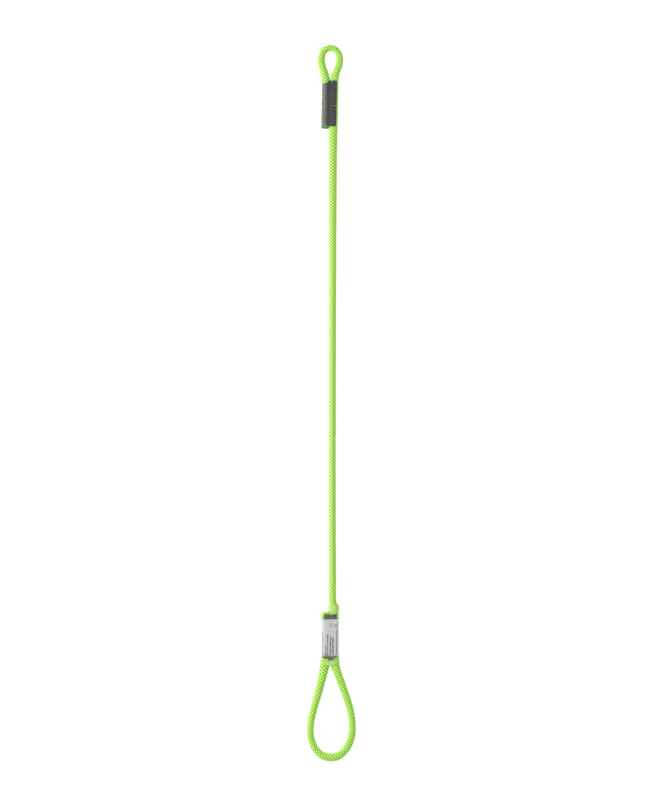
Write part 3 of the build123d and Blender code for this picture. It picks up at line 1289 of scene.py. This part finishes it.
@dataclass
class ShrinkSleeve:
    """The heat-shrink tube: a collar on the line, a shoulder over the tail, and a flared mouth."""

    middle_z: float
    wall: float = 0.2 * MM
    rings: tuple[tuple[float, float, float, float, float], ...] = (
        # Y, left and right edges and half height in millimetres, and squareness
        (-280.4, -3.4, 8.9, 5.5, 2.1),
        (-281.0, -4.3, 9.9, 6.0, 2.1),
        (-282.2, -4.9, 10.4, 6.2, 2.2),
        (-284.5, -5.0, 10.5, 6.3, 2.3),
        (-288.6, -5.0, 10.5, 6.4, 2.4),
        (-289.8, -5.4, 10.5, 6.5, 2.5),
        (-290.3, -8.0, 10.5, 6.6, 2.6),
        (-290.6, -12.0, 10.5, 6.7, 2.8),
        (-291.2, -14.1, 10.5, 6.85, 3.2),
        (-292.4, -15.0, 10.5, 7.0, 3.8),
        (-294.5, -15.3, 10.5, 7.08, 4.2),
        (-312.0, -15.3, 10.5, 7.09, 4.4),
        (-335.0, -15.3, 10.5, 7.09, 4.4),
        (-353.5, -15.3, 10.5, 7.08, 4.2),
        (-358.0, -15.5, 10.7, 6.9, 3.6),
        (-362.0, -15.8, 11.0, 6.6, 3.0),
        (-365.4, -16.2, 11.4, 6.3, 2.7),
    )

    def build(self, material: bpy.types.Material) -> bpy.types.Object:
        """Make the skin and give it its wall.

        Args:
            material: The tube's finish.

        Returns:
            The piece.
        """
        sections = [Ring(*(size * MM for size in ring[:4]), ring[4]) for ring in self.rings]
        skin = loft_rings(
            72, [lambda angle, ring=ring: ring.at(angle, self.middle_z) for ring in sections]
        )
        bmesh.ops.recalc_face_normals(skin, faces=skin.faces)
        sleeve = finish_piece("shrink_sleeve", skin, material, Slot.SLEEVE)
        thickness = sleeve.modifiers.new("wall", "SOLIDIFY")
        thickness.thickness = self.wall
        thickness.offset = -1.0
        smoothing = sleeve.modifiers.new("shrunk", "SUBSURF")
        smoothing.levels = smoothing.render_levels = 1
        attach(sleeve, Body.SPLICE.value)
        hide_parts("heat_shrink_sleeve")
        return sleeve


# ---- studio ----------------------------------------------------------------------------------------


@dataclass
class Studio:
    """A pale floor, soft light from the left and a camera straight above."""

    view_height: float = 1.1172
    centre: Size = (-0.0069, 0.0042)
    lens: float = 135.0
    sensor: float = 36.0
    floor_size: float = 12.0
    fill_light: float = 0.36

    def add_camera(self) -> None:
        """Hang the camera over the lanyard, framed to its length."""
        camera = bpy.data.cameras.new("camera")
        camera.lens = self.lens
        camera.sensor_width = self.sensor
        holder = bpy.data.objects.new("camera", camera)
        holder.location = (*self.centre, self.view_height * self.lens / self.sensor)
        bpy.context.scene.collection.objects.link(holder)
        bpy.context.scene.camera = holder

    def add_floor(self) -> None:
        """Lay the floor."""
        work = bmesh.new()
        bmesh.ops.create_grid(work, x_segments=1, y_segments=1, size=self.floor_size / 2)
        mesh = bpy.data.meshes.new("floor")
        work.to_mesh(mesh)
        work.free()
        mesh.materials.append(MattWhiteFloor().make())
        floor = bpy.data.objects.new("floor", mesh)
        bpy.context.scene.collection.objects.link(floor)

    def add_light(self, name: str, place: Point, size: float, power: float) -> None:
        """Hang one square softbox, aimed at the lanyard's middle.

        Args:
            name: The light's name.
            place: Where it hangs.
            size: Its side.
            power: Its power in watts.
        """
        light = bpy.data.lights.new(name, "AREA")
        light.size = size
        light.energy = power
        holder = bpy.data.objects.new(name, light)
        holder.location = place
        holder.rotation_euler = (-Vector(place)).to_track_quat("-Z", "Y").to_euler()
        bpy.context.scene.collection.objects.link(holder)

    def white_room(self) -> bpy.types.World:
        """Make the room: its walls look white, and give only a soft fill light.

        Returns:
            The room.
        """
        world = bpy.data.worlds.new("room")
        world.use_nodes = True
        tree = world.node_tree
        walls = tree.nodes["Background"]
        walls.inputs["Color"].default_value = (1, 1, 1, 1)
        seen = add_node(tree, "LightPath").outputs["Is Camera Ray"]
        mix = (seen, 1 - self.fill_light, self.fill_light)
        strength = add_node(tree, "Math", mix, operation="MULTIPLY_ADD")
        tree.links.new(strength.outputs[0], walls.inputs["Strength"])
        return world

    def build(self) -> None:
        """Set the room, the lights and the way that the picture is developed."""
        scene = bpy.context.scene
        scene.view_settings.view_transform = "Standard"
        scene.view_settings.look = "None"
        scene.world = self.white_room()
        self.add_floor()
        self.add_light("key_softbox", (-1.9, 0.3, 1.3), 1.6, 46.0)
        self.add_light("overhead_softbox", (-0.2, 0.0, 2.4), 2.2, 24.0)


# ---- the lanyard -----------------------------------------------------------------------------------


@dataclass
class Lanyard:
    """The whole lanyard, built from its pieces in order."""

    route: RopeRoute = field(default_factory=lambda: RopeRoute(ROUTE))
    eye_z: float = 5.75 * MM  # the legs' height in the small eye's seam
    loop_z: float = 7.10 * MM  # and in the large loop's
    leg_width: float = 11.4 * MM  # of a rope that a seam pinches
    leg_height: float = 8.9 * MM
    end_reach: float = 4.0 * MM  # how much of the rope an end is lined up with
    end_step: float = 0.4 * MM

    def rope_stretches(self) -> list[bpy.types.Object]:
        """Lay the rope in four stretches.

        Returns:
            The four pieces, from the small eye's to the large loop's.
        """
        route = self.route
        rope = BraidedRope(route, BraidedPolyamide().make())
        upper = route.station_at(UPPER_MEETING_Y)
        lower = route.station_at(LOWER_MEETING_Y)
        inside = route.station_at(SLEEVE_MEETING_Y)
        plan = (
            ("small_eye_rope", 0.0, upper, "eye_rope", Body.UPPER_LINE, Body.SMALL_EYE, 0.290, 0.380),
            ("upper_rope", upper, lower, "upper_line", Body.LOWER_LINE, Body.UPPER_LINE, 0.0, 0.100),
            ("lower_rope", lower, inside, "lower_line", Body.SPLICE, Body.LOWER_LINE, -0.2774, -0.1874),
            ("loop_rope", inside, route.length, "loop_rope", Body.SPLICE, Body.LOOP, -0.368, -0.422),
        )
        pieces = []
        for name, start, end, node, still, moving, from_y, to_y in plan:
            piece = rope.lay(name, start, end)
            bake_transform(piece)
            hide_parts(*(f"{node}_{part}" for part in ("sheath", "core", "marker")))
            pieces.append(piece)
        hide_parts("splice_rope_sheath", "splice_rope_core", "splice_rope_marker")
        return pieces

    def ends(self) -> None:
        """Seal both ends of the rope."""
        route = self.route
        material = FusedPolyamide().make()
        start = route.stretch(0, self.end_reach, self.end_step)
        finish = route.stretch(route.length - self.end_reach, route.length, self.end_step)
        half_width, sleeved_half_width = self.leg_width / 2, SLEEVED_WIDTH * MM / 2
        half_height = self.leg_height / 2
        MeltedEnd(
            "eye_melted_end", "eye_rope_end", Body.SMALL_EYE, start, half_width, half_height
        ).build(material)
        MeltedEnd(
            "splice_melted_end", "splice_rope_end", Body.SPLICE, finish, sleeved_half_width, half_height,
            outward=1.0,
        ).build(FusedPolyamide("#a6e063", "#c6f288").make())

    def seams(self) -> None:
        """Sew both seams."""
        ZigzagSeam(
            "eye_seam", 448.2 * MM, 386.6 * MM, self.eye_z, -13.35 * MM, 7.6 * MM, -0.0165,
            Body.SMALL_EYE, ("eye_needle_thread", "eye_bobbin_thread"), self.leg_width, self.leg_height,
            legs_middle=-1.87 * MM,
            bar_rows=(
                (449.0 * MM, -4.8 * MM, 6.8 * MM), (448.1 * MM, -4.6 * MM, 7.0 * MM),
                (444.6 * MM, -12.4 * MM, -5.0 * MM), (386.6 * MM, -10.4 * MM, 5.6 * MM),
                (385.9 * MM, -6.0 * MM, 5.4 * MM), (385.4 * MM, -13.9 * MM, -9.4 * MM),
                (384.5 * MM, -13.8 * MM, -10.2 * MM), (383.7 * MM, -13.4 * MM, -10.8 * MM),
            ),
        # The eye seam's thread has a painted highlight over its tail side.
        ).build(BondedThread(paints_highlight=True).make())
        ZigzagSeam(
            "splice_seam", -295.4 * MM, -354.2 * MM, self.loop_z, -12.3 * MM, 7.4 * MM, 0.0,
            Body.SPLICE, ("splice_needle_thread", "splice_bobbin_thread"), self.leg_width, self.leg_height,
            legs_middle=-2.4 * MM, tail_start=0.0, seed=23,
            bar_rows=(
                (-294.6 * MM, -10.6 * MM, 7.4 * MM), (-354.6 * MM, -12.0 * MM, 4.8 * MM),
                (-355.4 * MM, -11.0 * MM, 4.5 * MM), (-357.2 * MM, -4.8 * MM, 3.0 * MM),
                (-358.0 * MM, -4.6 * MM, 2.8 * MM), (-358.7 * MM, -4.0 * MM, 2.2 * MM),
            ),
        ).build(BondedThread("#3a3a3b", "#161617").make())

    def dress(self) -> None:
        """Wrap the label and the sleeve round the large loop's seam."""
        PrintedLabel(self.loop_z).build(SatinLabelFilm().make(), TransferInk().make())
        ShrinkSleeve(self.loop_z).build(ClearShrinkTube().make())


def main() -> None:
    """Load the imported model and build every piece."""
    logging.basicConfig(level=logging.INFO, format="%(name)s: %(message)s")
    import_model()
    studio = Studio()
    studio.add_camera()
    lanyard = Lanyard()
    log.info("rope length %.4f m", lanyard.route.length)
    lanyard.rope_stretches()
    lanyard.ends()
    lanyard.seams()
    lanyard.dress()
    studio.build()


if __name__ == "__main__":
    main()
